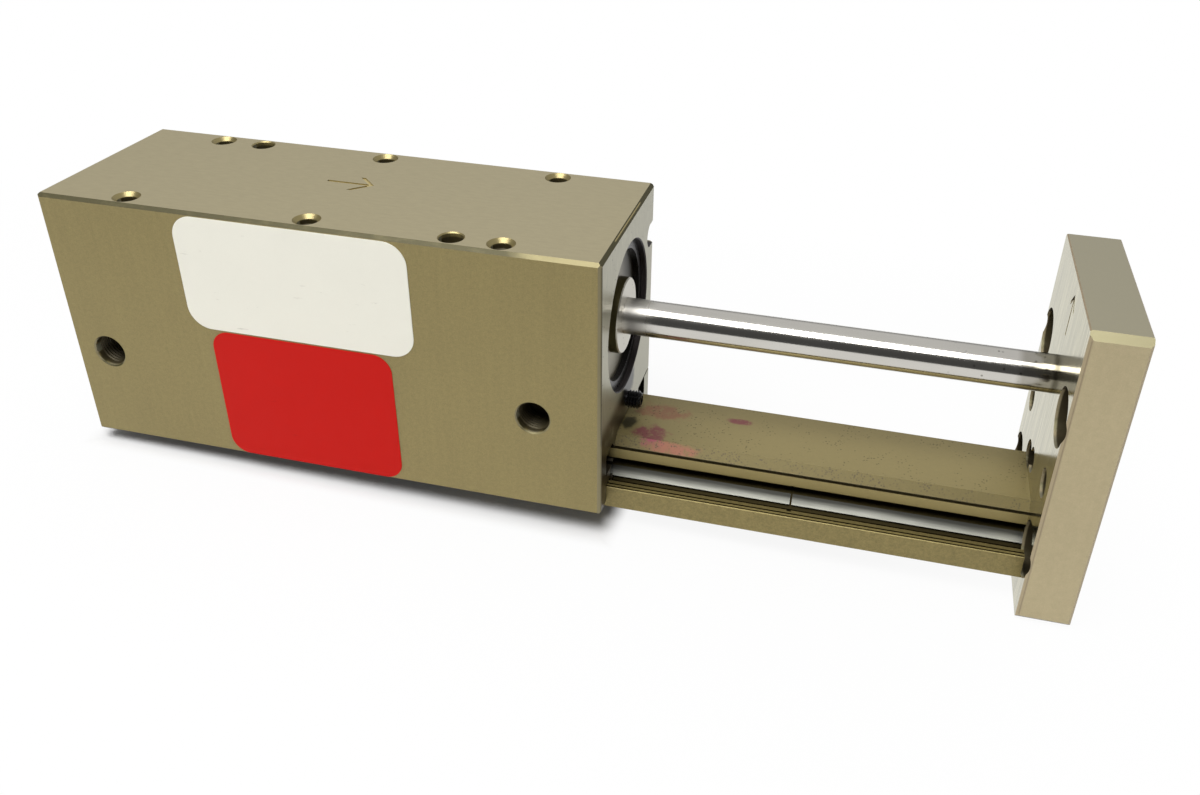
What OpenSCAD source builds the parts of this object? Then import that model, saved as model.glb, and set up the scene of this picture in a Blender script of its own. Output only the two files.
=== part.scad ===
// Pneumatic slide table: a cylinder and a crossed-roller slide in one housing.
// Origin: middle of the tapped pattern on the top mounting face. +X is the way the carriage
// extends, +Y is across the housing away from the air ports, +Z is out of the mounting face.
// The slide is drawn fully extended. Threads are plain cylinders at their minor diameter, apart
// from the exposed end of the stop screw.

/* [Housing] */
// Length of the housing
body_l = 149; // [120:1:200]
// Wall between the cylinder bore and each side face
side_wall = 7.45; // [6.5:0.05:12]
// Wall between the cylinder bore and the top face
top_wall = 7.65; // [6.5:0.05:12]
// Web between the cylinder bore and the slide channel
channel_web = 10.45; // [9:0.05:16]
// Edge chamfer of the housing
body_chamfer = 0.9; // [0.2:0.1:1.5]

/* [Cylinder] */
// Diameter of the cylinder bore
bore_d = 38.1; // [31:0.1:50]
// Diameter of the piston rod
rod_d = 9.52; // [7:0.01:12]
// Length of the piston
piston_l = 15.4; // [12:0.1:20]
// Blind end wall behind the bore
rear_wall = 6.5; // [4:0.1:10]
// Thickness of the rear bumper
rear_bumper_t = 5.7; // [4.5:0.1:8]
// Thickness of the front bumper
front_bumper_t = 4.2; // [4:0.1:6]
// Depth of the gland's inner face behind the housing's front face
gland_depth = 15; // [13:0.1:20]
// Diameter of the raised boss on the gland
gland_boss_d = 20; // [16:0.1:26]

/* [Air ports] */
// Minor diameter of the G1/8 port threads
port_d = 8.8; // [8:0.1:10]
// Depth of the port threads
port_depth = 9; // [7:0.1:10]
// Distance of the rear port from the rear face
port_from_rear = 10.4; // [10:0.1:12]
// Distance of the front port from the front face
port_from_front = 17.7; // [17.3:0.1:18]
// Height of the ports above the bore's lowest line
port_lift = 1; // [0.8:0.05:3]

/* [Mounting face] */
// Minor diameter of the M6 threads
tap_d = 5; // [4:0.1:6]
// Depth of the tapped holes
tap_depth = 11; // [8:0.5:14]
// Distance of the first tapped hole from the rear face
tap_from_rear = 23.4; // [15:0.1:30]
// Distance of the last tapped hole from the front face
tap_from_front = 25.6; // [24:0.1:30]
// Distance of each hole row from its side face
tap_from_side = 4.5; // [4:0.1:6]
// Diameter of the dowel holes
dowel_d = 6; // [4:0.1:6]
// Depth of the dowel holes
dowel_depth = 8; // [5:0.5:10]
// Distance of each dowel hole inboard of the end tapped hole
dowel_inset = 12.5; // [10:0.1:15]

/* [Sensor slot] */
// Width of the sensor slot
slot_w = 6.5; // [5:0.1:7]
// Depth of the sensor slot
slot_depth = 7; // [5:0.1:7]
// Height of the slot's centre above the bore axis
slot_lift = 12.9; // [11:0.1:15]

/* [Slide rail] */
// Recess of the rail's flange behind each side face
flange_inset = 6; // [5:0.1:8]
// Height of the rail's flange edge
flange_h = 6.6; // [5:0.1:7]
// Drop of the rail below the housing's underside
rail_drop = 1.4; // [1:0.1:3]
// Height of the channel's roof above the housing's underside
channel_h = 15.8; // [15:0.1:18]
// Chamfer along the rail's top edges
rail_chamfer = 2.2; // [1:0.1:3]
// Gap between the housing and the plate when closed
closed_gap = 3.2; // [2:0.1:3.8]
// Distance of the way strips' joint from the plate
way_joint = 57.5; // [30:0.5:90]

/* [Rollers] */
// Diameter of the crossed rollers
roller_d = 4; // [3:0.1:4]
// Number of rollers in each cage
roller_count = 6; // [3:1:6]
// Spacing of the rollers
roller_pitch = 6.4; // [5.5:0.1:6.5]
// Length of each cage
cage_l = 40; // [38:0.5:41]
// Thickness of each cage
cage_t = 0.7; // [0.4:0.1:0.9]

/* [Tooling plate] */
// Thickness of the plate
plate_t = 12.7; // [11:0.1:16]
// Drop of the plate below the housing's underside
plate_drop = 9.1; // [5:0.1:12]
// Set-back of the plate's top edge below the mounting face
plate_top_gap = 1.1; // [0.5:0.1:4]
// Overhang of the plate past each side face of the housing
plate_overhang = 0.5; // [0:0.1:2]
// Chamfer along the plate's four outer corners
plate_chamfer = 1.7; // [0.3:0.1:2]
// Across the four tooling holes
tool_pitch_y = 39; // [30:0.1:39.4]
// Up the four tooling holes
tool_pitch_z = 38.1; // [30:0.1:42]
// Diameter of the tooling holes
tool_hole_d = 6.6; // [5:0.1:7]
// Diameter of their counterbores
tool_bore_d = 14.2; // [11:0.1:14.4]
// Minor diameter of the two adjuster threads in the plate
adjuster_d = 7.2; // [6:0.1:9]

/* [Hidden] */
$fn = 96;
EPS = 0.01;          // overshoot of a cut past a face
FIT = 0.03;          // radial running clearance
SEAT = 0.05;         // clearance between seated round parts
STRIP_T = 1;         // thickness of a hardened way strip
V_MOUTH = 2.2;       // half-height of each way groove at its mouth
RELIEF = 0.9;        // relief at the root of a way groove, along each flank

// Overall sizes and the datum planes
body_w = bore_d + 2 * side_wall;
body_h = channel_h + channel_web + bore_d + top_wall;
half_w = body_w / 2;
tap_pitch = (body_l - tap_from_rear - tap_from_front) / 2;
tap_row = half_w - tap_from_side;
rear_x = -(tap_from_rear + tap_pitch);
front_x = rear_x + body_l;
base_z = -body_h;
rod_z = -(top_wall + bore_d / 2);

// Cylinder, from the rear end forwards
bumper_gap = 0.3;
stroke = body_l - rear_wall - rear_bumper_t - piston_l - front_bumper_t - gland_depth - 2 * bumper_gap;
piston_front = front_x - gland_depth - front_bumper_t - bumper_gap;
piston_rear = piston_front - piston_l;
plate_x = front_x + closed_gap + stroke;
gland_seat_d = bore_d + 1.9;
gland_seat_depth = 9.5;
ring_depth = 1.5;
ring_t = 1.6;
ring_groove_d = gland_seat_d + 1.9;
ring_inner_d = gland_seat_d - 5.2;
gland_face = front_x - ring_depth - ring_t;
boss_top = front_x - 0.5;
rod_seat = 1.5;
port_z = rod_z - bore_d / 2 + port_lift;

// Rail and way grooves, as distances out from the centre plane and heights over the underside
flange_half = half_w - flange_inset;
flange_top = flange_h - rail_drop;
flange_gap = 0.5;
rail_top = channel_h - 0.5;
block_half = flange_half - 7.8;
apex_h = 7;
rail_apex = block_half - V_MOUTH;
body_apex = rail_apex + (roller_d + 2 * FIT) * sqrt(2);
wall_half = body_apex - V_MOUTH;
roller_half = (rail_apex + body_apex) / 2;
ledge_w = 3;
line_depth = 0.5;
flange_lines = [[0.3, 0.7], [1.4, 1.9]];
groove_floor = 1.6;
lip_under = 3.8;
rail_rear_gap = 2.2;
rail_l = body_l + closed_gap - rail_rear_gap;
rail_rear = plate_x - rail_l;
cage_rear = rail_rear + 0.8;
roller_l = roller_d - 0.3;
cage_top = channel_h - 3.8;
cage_bottom = 4.8;

// Gib, its screws and the recesses at the ends of the ways
slit_top = channel_h - 0.6;
gib_top = slit_top - 0.8;
gib_outer = half_w - 0.4;
gib_screw_y = gib_outer - 4.5;
gib_screw_x = [for (i = [0:3]) rear_x + 19 + i * (body_l - 38) / 3];
end_recess = 4;
recess_w = flange_half + flange_gap - wall_half;
recess_round = 3.6;
way_screw_y = wall_half + 1.9;
way_screw_z = gib_top - 2.1;
way_head_r = 2.6;
way_head_h = 2.5;

// Stop screw, and the pocket and blind hole that face it
stop_z = base_z + channel_h + 4.2;
stop_out = 4.1;
pocket_r = 3.3;
pocket_depth = stop_out + bumper_gap - closed_gap;
relief_r = 4;
relief_depth = 5.5;
relief_y = 5.8;
relief_z = stop_z - 2.4;

// Plate: upright end edges, flat end edges, and the two holes for travel adjusters
plate_upright = [0.9, 0.6];
plate_flat = 0.3;
adjuster_y = 19.05;
adjuster_z = base_z + 26.7;
mark_depth = 0.35;

plate_top = -plate_top_gap;
plate_bottom = base_z - plate_drop;
plate_half = half_w + plate_overhang;
tool_z = rod_z - tool_pitch_z / 2;
rail_screw_y = 5.8;
rail_screw_z = 7.2;

OLIVE = [0.55, 0.50, 0.38];
SILVER = [0.80, 0.78, 0.73];
STEEL = [0.62, 0.63, 0.62];
CHROME = [0.85, 0.85, 0.86];
BLACK = [0.06, 0.06, 0.07];
RUBBER = [0.10, 0.10, 0.10];
URETHANE = [0.75, 0.55, 0.20];

// ---- Shared shapes ----

// Extrudes a profile drawn as [across, up] along X.
module along_x(from, to) {
    translate([from, 0, 0])
        rotate([90, 0, 90])
            linear_extrude(to - from)
                children();
}

// Round bar or bore along X, centred at y, z.
module rod_x(r, from, to, y = 0, z = 0) {
    translate([from, y, z])
        rotate([0, 90, 0])
            cylinder(r = r, h = to - from);
}

// Ring along X with an open middle.
module ring_x(outer, inner, from, to, y = 0, z = 0) {
    difference() {
        rod_x(outer, from, to, y, z);
        rod_x(inner, from - 1, to + 1, y, z);
    }
}

// Cone along X, used for lead-in chamfers.
module cone_x(r_from, r_to, from, to, y = 0, z = 0) {
    translate([from, y, z])
        rotate([0, 90, 0])
            cylinder(r1 = r_from, r2 = r_to, h = to - from);
}

// Rectangle with its corners cut off: by c[0] at its low end and by c[1] at its high end.
module cut_rect(low, high, c) {
    polygon([
        [low[0] + c[0], low[1]], [high[0] - c[1], low[1]],
        [high[0], low[1] + c[1]], [high[0], high[1] - c[1]],
        [high[0] - c[1], high[1]], [low[0] + c[0], high[1]],
        [low[0], high[1] - c[0]], [low[0], low[1] + c[0]]
    ]);
}

// Block with all twelve edges chamfered: its long edges by c, the upright edges of its two
// ends by upright[0] and upright[1], and the flat edges of its ends by flat.
module chamfered_block(low, high, c, upright, flat) {
    intersection() {
        along_x(low[0], high[0])
            cut_rect([low[1], low[2]], [high[1], high[2]], [c, c]);
        translate([0, 0, low[2]])
            linear_extrude(high[2] - low[2])
                cut_rect([low[0], low[1]], [high[0], high[1]], upright);
        translate([0, high[1], 0])
            rotate([90, 0, 0])
                linear_extrude(high[1] - low[1])
                    cut_rect([low[0], low[2]], [high[0], high[2]], [flat, flat]);
    }
}

// Thin-lined arrow that points to +X, centred on its length.
module arrow(half, barb, w) {
    h = w / 2;
    neck = half - w * sqrt(2);
    polygon([
        [-half, -h], [neck - h, -h], [neck - barb, -barb], [half - barb, -barb],
        [half, 0], [half - barb, barb], [neck - barb, barb], [neck - h, h], [-half, h]
    ]);
}

// Socket head screw along X: the head ends at x = 0 and the shank runs to -X below it.
module socket_screw(head_r, head_h, shank_r, shank_l, key) {
    difference() {
        union() {
            rod_x(head_r, -head_h, -0.3);
            cone_x(head_r, head_r - 0.3, -0.3, 0);
            rod_x(shank_r, -head_h - shank_l, -head_h + EPS);
        }
        translate([-head_h * 0.55, 0, 0])
            rotate([0, 90, 0])
                cylinder(d = key / cos(30), h = head_h, $fn = 6);
    }
}

// Children on the port side as drawn, or mirrored to the gib side.
module on_side(side) {
    mirror([0, side == "front" ? 1 : 0, 0])
        translate([0, 0, base_z])
            children();
}

// Point on a flank of a way groove: s runs out along the flank and t into the metal.
// turn is +1 for a groove that opens outwards and -1 for one that opens inwards.
function flank(apex, turn, up, s, t) =
    [apex + turn * (s - t) / sqrt(2), apex_h + up * (s + t) / sqrt(2)];

// Section of the strip seated on one flank.
module strip_section(apex, turn, up, s0, s1) {
    polygon([
        flank(apex, turn, up, s0, 0), flank(apex, turn, up, s1, 0),
        flank(apex, turn, up, s1, STRIP_T), flank(apex, turn, up, s0, STRIP_T)
    ]);
}

// Sections of the two strips of one groove. The rail's lower strip is the wide, exposed one.
strip_end = V_MOUTH * sqrt(2) - 0.4;
lower_s0 = 1.45;
lower_s1 = 4.3;
module rail_strip_sections() {
    strip_section(rail_apex, 1, -1, lower_s0, lower_s1);
    strip_section(rail_apex, 1, 1, RELIEF, strip_end);
}
module body_strip_sections() {
    strip_section(body_apex, -1, -1, RELIEF, strip_end);
    strip_section(body_apex, -1, 1, RELIEF, strip_end);
}

// Seat of a strip, open to the groove and to its root.
module seat_section(apex, turn, up, s1) {
    polygon([
        flank(apex, turn, up, -0.3, -0.3), flank(apex, turn, up, s1, -0.3),
        flank(apex, turn, up, s1, STRIP_T), flank(apex, turn, up, -0.3, STRIP_T)
    ]);
}
module rail_seats() {
    seat_section(rail_apex, 1, -1, lower_s1 + 2);
    seat_section(rail_apex, 1, 1, strip_end);
}
module body_seats() {
    seat_section(body_apex, -1, -1, strip_end);
    seat_section(body_apex, -1, 1, strip_end);
}

// Points of a half section mirrored to the other side, in reverse order.
function mirrored(points) = [for (i = [len(points) - 1:-1:0]) [-points[i][0], points[i][1]]];

// ---- Housing ----

// Half of the channel on the port side, as [out, up] from the centre of the underside.
roof_half = block_half - rail_chamfer + 0.1;
slope_foot = channel_h - (wall_half - roof_half);
channel_half = [
    [flange_half + flange_gap, -1], [flange_half + flange_gap, flange_top + flange_gap],
    [flange_half - ledge_w - 0.6, flange_top + flange_gap],
    [flange_half - ledge_w - 0.6, lip_under],
    [wall_half, lip_under], [wall_half, apex_h - V_MOUTH],
    [body_apex, apex_h], [wall_half, apex_h + V_MOUTH],
    [wall_half, slope_foot], [roof_half, channel_h]
];

// Half of the opening on the gib side: the channel and the whole seat of the gib.
gib_wedge = wall_half - 0.9;
gib_half = [
    [half_w + 1, -1], [half_w + 1, slit_top], [gib_wedge, slit_top],
    [gib_wedge, channel_h - (gib_wedge - roof_half)], [roof_half, channel_h]
];

// Dark pocket at each end of a way, with a rounded inner side.
module end_pocket_section() {
    low = apex_h + V_MOUTH - 0.3;
    slot_h = slit_top - low;
    mid = low + slot_h / 2;
    intersection() {
        translate([wall_half - 1, low])
            square([recess_w + 1, slot_h]);
        union() {
            translate([wall_half + recess_round - 0.85, mid])
                circle(r = recess_round);
            translate([wall_half + recess_round - 0.85, low])
                square([recess_w, slot_h]);
        }
    }
}

// Sides of the housing that each end pocket is cut from.
module end_pockets() {
    along_x(rear_x - 1, rear_x + end_recess)
        end_pocket_section();
    along_x(front_x - end_recess, front_x + 1)
        end_pocket_section();
}

// Air port: thread, lead-in chamfer and the drilling into the bore.
module port(x) {
    chamfer = 0.35;
    translate([x, -half_w, port_z])
        rotate([-90, 0, 0]) {
            translate([0, 0, -EPS])
                cylinder(d = port_d, h = port_depth);
            translate([0, 0, -EPS])
                cylinder(d1 = port_d + 2 * chamfer, d2 = port_d, h = chamfer);
            translate([0, -1.6, 0])
                cylinder(r = 1.5, h = half_w - 6);
        }
}

// Vertical hole in the mounting face with a countersunk mouth.
module top_hole(x, y, d, depth, mouth) {
    translate([x, y, -depth])
        cylinder(d = d, h = depth + EPS);
    translate([x, y, -mouth])
        cylinder(d1 = d, d2 = d + 2 * mouth, h = mouth + EPS);
}

// Engraved travel arrow on the mounting face.
module travel_arrow() {
    translate([-0.75, 2.6, -mark_depth])
        linear_extrude(mark_depth + 1)
            arrow(6.6, 4.4, 0.9);
}

module body() {
    color(OLIVE)
    difference() {
        chamfered_block([rear_x, -half_w, base_z], [front_x, half_w, 0], body_chamfer,
            [body_chamfer, body_chamfer], body_chamfer);

        // cylinder bore, gland seat and retaining ring groove
        rod_x(bore_d / 2, rear_x + rear_wall, front_x, 0, rod_z);
        rod_x(gland_seat_d / 2, front_x - gland_seat_depth, front_x + 1, 0, rod_z);
        rod_x(ring_groove_d / 2, gland_face, gland_face + ring_t, 0, rod_z);
        cone_x(gland_seat_d / 2, gland_seat_d / 2 + 0.3, front_x - 0.3, front_x + EPS, 0, rod_z);

        // slide channel and gib seat
        translate([0, 0, base_z])
            along_x(rear_x - 1, front_x + 1)
                polygon(concat(gib_half, mirrored(channel_half)));
        on_side("front")
            along_x(rear_x - 1, front_x + 1)
                body_seats();
        on_side("front")
            end_pockets();
        for (x = [rear_x - 1, front_x - end_recess - 7])
            on_side("front")
                rod_x(1, x, x + end_recess + 8, way_screw_y, way_screw_z);

        // air ports
        port(rear_x + port_from_rear);
        port(front_x - port_from_front);

        // mounting face
        for (i = [-1:1], s = [-1, 1])
            top_hole(i * tap_pitch, s * tap_row, tap_d, tap_depth, 1);
        for (s = [-1, 1])
            top_hole(s * (tap_pitch - dowel_inset), -s * tap_row, dowel_d, dowel_depth, 0.3);
        travel_arrow();

        // gib screw threads
        for (x = gib_screw_x)
            translate([x, gib_screw_y, base_z + gib_top])
                cylinder(d = 3.4, h = 9);

        // stop screw
        rod_x(2.1, front_x - 13, front_x, 0, stop_z);

        // sensor slot
        translate([0, half_w - slot_depth + slot_w / 2, rod_z + slot_lift]) {
            rod_x(slot_w / 2, rear_x - 1, front_x + 1);
            translate([rear_x - 1, 0, -slot_w / 2])
                cube([body_l + 2, slot_depth, slot_w]);
        }
    }
}

// Separate bar that carries the way on the side away from the ports.
module way_gib() {
    low = 0.3;
    color(OLIVE)
    on_side("rear")
    difference() {
        along_x(rear_x + 0.1, front_x - 0.1)
            polygon([
                [flange_half + flange_gap, low], [gib_outer, low], [gib_outer, gib_top],
                [wall_half, gib_top], [wall_half, apex_h + V_MOUTH], [body_apex, apex_h],
                [wall_half, apex_h - V_MOUTH], [wall_half, lip_under],
                [flange_half - ledge_w - 0.6, lip_under],
                [flange_half - ledge_w - 0.6, flange_top + flange_gap],
                [flange_half + flange_gap, flange_top + flange_gap]
            ]);
        along_x(rear_x - 1, front_x + 1)
            body_seats();
        end_pockets();
        for (x = [rear_x - 1, front_x - end_recess - 7])
            rod_x(1, x, x + end_recess + 8, way_screw_y, way_screw_z);
        for (x = gib_screw_x)
            translate([x, gib_screw_y, 0]) {
                cylinder(d = 4.3, h = gib_top + 1);
                translate([0, 0, -1])
                    cylinder(d = 7.4, h = flange_top + gib_screw_head + 1.6);
            }
    }
}

gib_screw_head = 4;
module gib_screws() {
    color(BLACK)
    for (x = gib_screw_x)
        translate([x, gib_screw_y, base_z + flange_top + 0.6])
            rotate([0, 90, 0])
                socket_screw(3.5, gib_screw_head, 1.68, 12.4, 3);
}

// Two hardened strips of one way, along the whole housing between its end pockets.
module body_ways(side) {
    color(STEEL)
    on_side(side)
        along_x(rear_x + end_recess, front_x - end_recess)
            body_strip_sections();
}
module body_ways_front() { body_ways("front"); }
module body_ways_rear() { body_ways("rear"); }

// Screws whose heads close the ends of the ways, so that the cages can't run out.
module cage_stop_screws() {
    color(BLACK)
    for (side = ["front", "rear"])
        on_side(side)
            translate([0, way_screw_y, way_screw_z]) {
                translate([front_x - end_recess + way_head_h, 0, 0])
                    socket_screw(way_head_r, way_head_h, 0.98, 6, 2);
                translate([rear_x + end_recess - way_head_h, 0, 0])
                    mirror([1, 0, 0])
                        socket_screw(way_head_r, way_head_h, 0.98, 6, 2);
            }
}

// Set screw with its thread drawn where it stands clear of the housing.
module stop_screw() {
    root = 2.07;
    crest = 2.5;
    teeth = [for (i = [0:8]) [i % 2 == 0 ? root : crest, 0.4 + i * 0.4]];
    color(BLACK)
    translate([front_x, 0, stop_z])
        rotate([0, 90, 0])
            difference() {
                rotate_extrude()
                    polygon(concat(
                        [[0, -8], [root - 0.4, -8], [root, -7.6]], teeth,
                        [[root, stop_out - 0.3], [root - 0.3, stop_out], [0, stop_out]]
                    ));
                translate([0, 0, stop_out - 2.2])
                    cylinder(d = 2.5 / cos(30), h = 3, $fn = 6);
            }
}

// ---- Cylinder parts ----

module rod_gland() {
    inner = front_x - gland_depth;
    shoulder = front_x - gland_seat_depth;
    color(OLIVE)
    difference() {
        union() {
            rod_x(bore_d / 2 - SEAT, inner, shoulder + EPS, 0, rod_z);
            rod_x(gland_seat_d / 2 - SEAT, shoulder, gland_face, 0, rod_z);
            rod_x(gland_boss_d / 2, gland_face - EPS, boss_top - 0.3, 0, rod_z);
            cone_x(gland_boss_d / 2, gland_boss_d / 2 - 0.3, boss_top - 0.3, boss_top, 0, rod_z);
        }
        rod_x(rod_d / 2 + FIT, inner - 1, front_x + 1, 0, rod_z);
        rod_x(rod_d / 2 + 2.4, inner + 2.2, inner + 5.7, 0, rod_z);
        rod_x(rod_d / 2 + 1.8, gland_face - 1, gland_face + 1, 0, rod_z);
        ring_x(bore_d / 2 + 1, bore_d / 2 - 2, inner + 1.6, inner + 4.2, 0, rod_z);
    }
}

// Internal retaining ring with plier holes in its two lugs.
module gland_retaining_ring() {
    gap = 16;
    lug_r = 2.5;
    lug_at = ring_groove_d / 2 - lug_r - 0.15;
    color(STEEL)
    translate([0, 0, rod_z])
        difference() {
            union() {
                difference() {
                    ring_x(ring_groove_d / 2 - SEAT, ring_inner_d / 2,
                        gland_face + SEAT, gland_face + ring_t - SEAT);
                    along_x(gland_face - 1, gland_face + ring_t + 1)
                        polygon([
                            [0, 0], [-40, 40 * tan(gap / 2)], [-40, -40 * tan(gap / 2)]
                        ]);
                }
                for (s = [-1, 1])
                    rotate([s * (gap / 2 + 4), 0, 0])
                        rod_x(lug_r, gland_face + SEAT, gland_face + ring_t - SEAT, -lug_at);
            }
            for (s = [-1, 1])
                rotate([s * (gap / 2 + 4), 0, 0])
                    rod_x(0.9, gland_face - 1, gland_face + ring_t + 1, -lug_at);
        }
}

// Ring of round section about the rod axis.
module o_ring(x, r, section) {
    translate([x, 0, rod_z])
        rotate([0, 90, 0])
            rotate_extrude()
                translate([r, 0])
                    circle(r = section / 2, $fn = 32);
}

module gland_o_ring() {
    section = 1.9;
    color(RUBBER)
        o_ring(front_x - gland_depth + 2.9, bore_d / 2 - SEAT - section / 2, section);
}

module rod_seal() {
    start = front_x - gland_depth + 2.3;
    color(RUBBER)
    difference() {
        ring_x(rod_d / 2 + 2.35, rod_d / 2 + FIT, start, start + 3.3, 0, rod_z);
        ring_x(rod_d / 2 + 1.7, rod_d / 2 + 0.8, start - 1, start + 1.4, 0, rod_z);
    }
}

module rod_wiper() {
    color(RUBBER)
        ring_x(rod_d / 2 + 1.75, rod_d / 2 + FIT, gland_face - 0.95, gland_face + 0.95, 0, rod_z);
}

module front_bumper() {
    face = front_x - gland_depth;
    color(URETHANE)
        ring_x(12, rod_d / 2 + 0.5, face - front_bumper_t, face, 0, rod_z);
}

module rear_bumper() {
    face = rear_x + rear_wall;
    color(URETHANE)
        ring_x(11, 7, face, face + rear_bumper_t, 0, rod_z);
}

// ---- Labels, left blank ----

module label(low, high, r) {
    color_t = 0.15;
    translate([0, -half_w, 0])
        rotate([90, 0, 0])
            linear_extrude(color_t) {
                translate([low[0] + r, low[1]])
                    square([high[0] - low[0] - 2 * r, high[1] - low[1]]);
                translate([low[0], low[1] + r])
                    square([high[0] - low[0], high[1] - low[1] - 2 * r]);
                for (x = [low[0] + r, high[0] - r], z = [low[1] + r, high[1] - r])
                    translate([x, z])
                        circle(r = r);
            }
}

module white_label() {
    left = rear_x + 38.2;
    top = -body_chamfer - 0.2;
    color("white")
        label([left, top - 31.5], [left + 62.8, top], 6);
}

module red_label() {
    left = rear_x + 43.5;
    bottom = base_z + body_chamfer;
    color([0.79, 0.16, 0.12])
        label([left, bottom], [left + 50.6, bottom + 38], 5);
}

// ---- Carriage ----

module tooling_plate() {
    outer = plate_x + plate_t;
    color(SILVER)
    difference() {
        chamfered_block([plate_x, -plate_half, plate_bottom], [outer, plate_half, plate_top],
            plate_chamfer, plate_upright, plate_flat);

        // tooling holes, counterbored from the housing's side
        for (y = [-1, 1], z = [-1, 1])
            translate([0, y * tool_pitch_y / 2, tool_z + z * tool_pitch_z / 2]) {
                rod_x(tool_hole_d / 2, plate_x - 1, outer + 1);
                rod_x(tool_bore_d / 2, plate_x - 1, plate_x + 6.5);
            }

        // travel adjuster holes
        for (y = [-1, 1])
            rod_x(adjuster_d / 2, plate_x - 1, outer + 1, y * adjuster_y, adjuster_z);

        // shallow pocket whose floor the stop screw comes up to, and the blind hole beside it
        rod_x(pocket_r, plate_x - 1, plate_x + pocket_depth, 0, stop_z);
        rod_x(relief_r, plate_x - 1, plate_x + relief_depth, relief_y, relief_z);

        // engraved arrow that points up
        along_x(plate_x - 1, plate_x + mark_depth)
            translate([-2, -9.8])
                rotate(90)
                    arrow(5.3, 2.9, 0.8);

        // rod seat and screw
        rod_x(rod_d / 2 + SEAT, plate_x - 1, plate_x + rod_seat, 0, rod_z);
        rod_x(3.3, plate_x - 1, outer + 1, 0, rod_z);
        rod_x(5.3, outer - 6.6, outer + 1, 0, rod_z);

        // rail screws and dowels
        for (y = [-1, 1]) {
            rod_x(3.3, plate_x - 1, outer + 1, y * rail_screw_y, base_z + rail_screw_z);
            rod_x(5.3, outer - 6.6, outer + 1, y * rail_screw_y, base_z + rail_screw_z);
        }
        for (z = rail_dowel_z)
            rod_x(2 + SEAT / 2, plate_x - 1, outer + 1, 0, base_z + z);
    }
}

// Half section of the rail, as [out, up] from the centre of the housing's underside.
rail_bottom = -rail_drop;
inner_ledge = flange_half - ledge_w;
groove_foot = rail_apex + lower_s1 / sqrt(2) + 0.06;
rail_shoulder = rail_top - rail_chamfer;
function line_cut(from, to) = [
    [flange_half - from, flange_top], [flange_half - from, flange_top - line_depth],
    [flange_half - to, flange_top - line_depth], [flange_half - to, flange_top]
];
rail_half = concat([
    [flange_half - 0.4, rail_bottom], [flange_half, rail_bottom + 0.4],
    [flange_half, flange_top - 0.15], [flange_half - 0.15, flange_top]
], [for (l = flange_lines, p = line_cut(l[0], l[1])) p], [
    [inner_ledge, flange_top], [inner_ledge, groove_floor],
    [groove_foot, groove_floor], [groove_foot, apex_h - (groove_foot - rail_apex)],
    [rail_apex, apex_h], [block_half, apex_h + V_MOUTH],
    [block_half, rail_shoulder - 1], [block_half - 0.6, rail_shoulder - 1],
    [block_half - 0.6, rail_shoulder], [block_half, rail_shoulder],
    [block_half - rail_chamfer, rail_top]
]);

rail_dowel_z = [3, 12];
module carriage_rail() {
    color(OLIVE)
    difference() {
        translate([0, 0, base_z])
            along_x(rail_rear, plate_x)
                polygon(concat(rail_half, mirrored(rail_half)));
        for (side = ["front", "rear"])
            on_side(side)
                along_x(rail_rear - 1, plate_x + 1)
                    rail_seats();
        for (y = [-1, 1]) {
            rod_x(2.5, plate_x - 14, plate_x + 1, y * rail_screw_y, base_z + rail_screw_z);
            rod_x(1.25, rail_rear - 1, rail_rear + 8, y * rail_screw_y, base_z + rail_screw_z);
        }
        for (z = rail_dowel_z)
            rod_x(2 + SEAT / 2, plate_x - 10, plate_x + 1, 0, base_z + z);
    }
}

// Hardened strips in two lengths that meet at a joint.
module rail_ways(side) {
    joint = plate_x - way_joint;
    color(STEEL)
    on_side(side)
        for (span = [[rail_rear, joint - 0.25], [joint + 0.25, plate_x]])
            along_x(span[0], span[1])
                rail_strip_sections();
}
module rail_ways_front() { rail_ways("front"); }
module rail_ways_rear() { rail_ways("rear"); }

// Thin plate that closes the rear ends of the rail's ways.
cage_plate_t = 1.5;
module cage_stop_plate() {
    wing = wall_half - 0.8;
    color(STEEL)
    difference() {
        translate([0, 0, base_z])
            along_x(rail_rear - cage_plate_t, rail_rear)
                polygon([
                    [-9, 1], [9, 1], [9, cage_bottom + 0.3], [wing, cage_bottom + 0.3],
                    [wing, cage_top - 0.5], [9, 14], [-9, 14], [-wing, cage_top - 0.5],
                    [-wing, cage_bottom + 0.3], [-9, cage_bottom + 0.3]
                ]);
        for (y = [-1, 1])
            rod_x(1.6, rail_rear - 5, rail_rear + 1, y * rail_screw_y, base_z + rail_screw_z);
    }
}

module cage_plate_screws() {
    color(BLACK)
    for (y = [-1, 1])
        translate([rail_rear - cage_plate_t, y * rail_screw_y, base_z + rail_screw_z])
            difference() {
                union() {
                    rod_x(2.75, -rail_screw_cap, 0);
                    rod_x(1.23, -EPS, cage_plate_t + 6);
                }
                rod_x(1.1, -rail_screw_cap - 1, -rail_screw_cap + 0.4);
            }
}
rail_screw_cap = 0.6;

module rail_screws() {
    color(BLACK)
    for (y = [-1, 1])
        translate([plate_x + plate_t - 0.5, y * rail_screw_y, base_z + rail_screw_z])
            socket_screw(5, 6, 2.48, 18, 5);
}

module rail_dowels() {
    color(STEEL)
    for (z = rail_dowel_z)
        rod_x(2, plate_x - 9.5, plate_x + plate_t - 1, 0, base_z + z);
}

module rod_screw() {
    color(BLACK)
    translate([plate_x + plate_t - 0.5, 0, rod_z])
        socket_screw(5, 6, 2.48, 18, 5);
}

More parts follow.
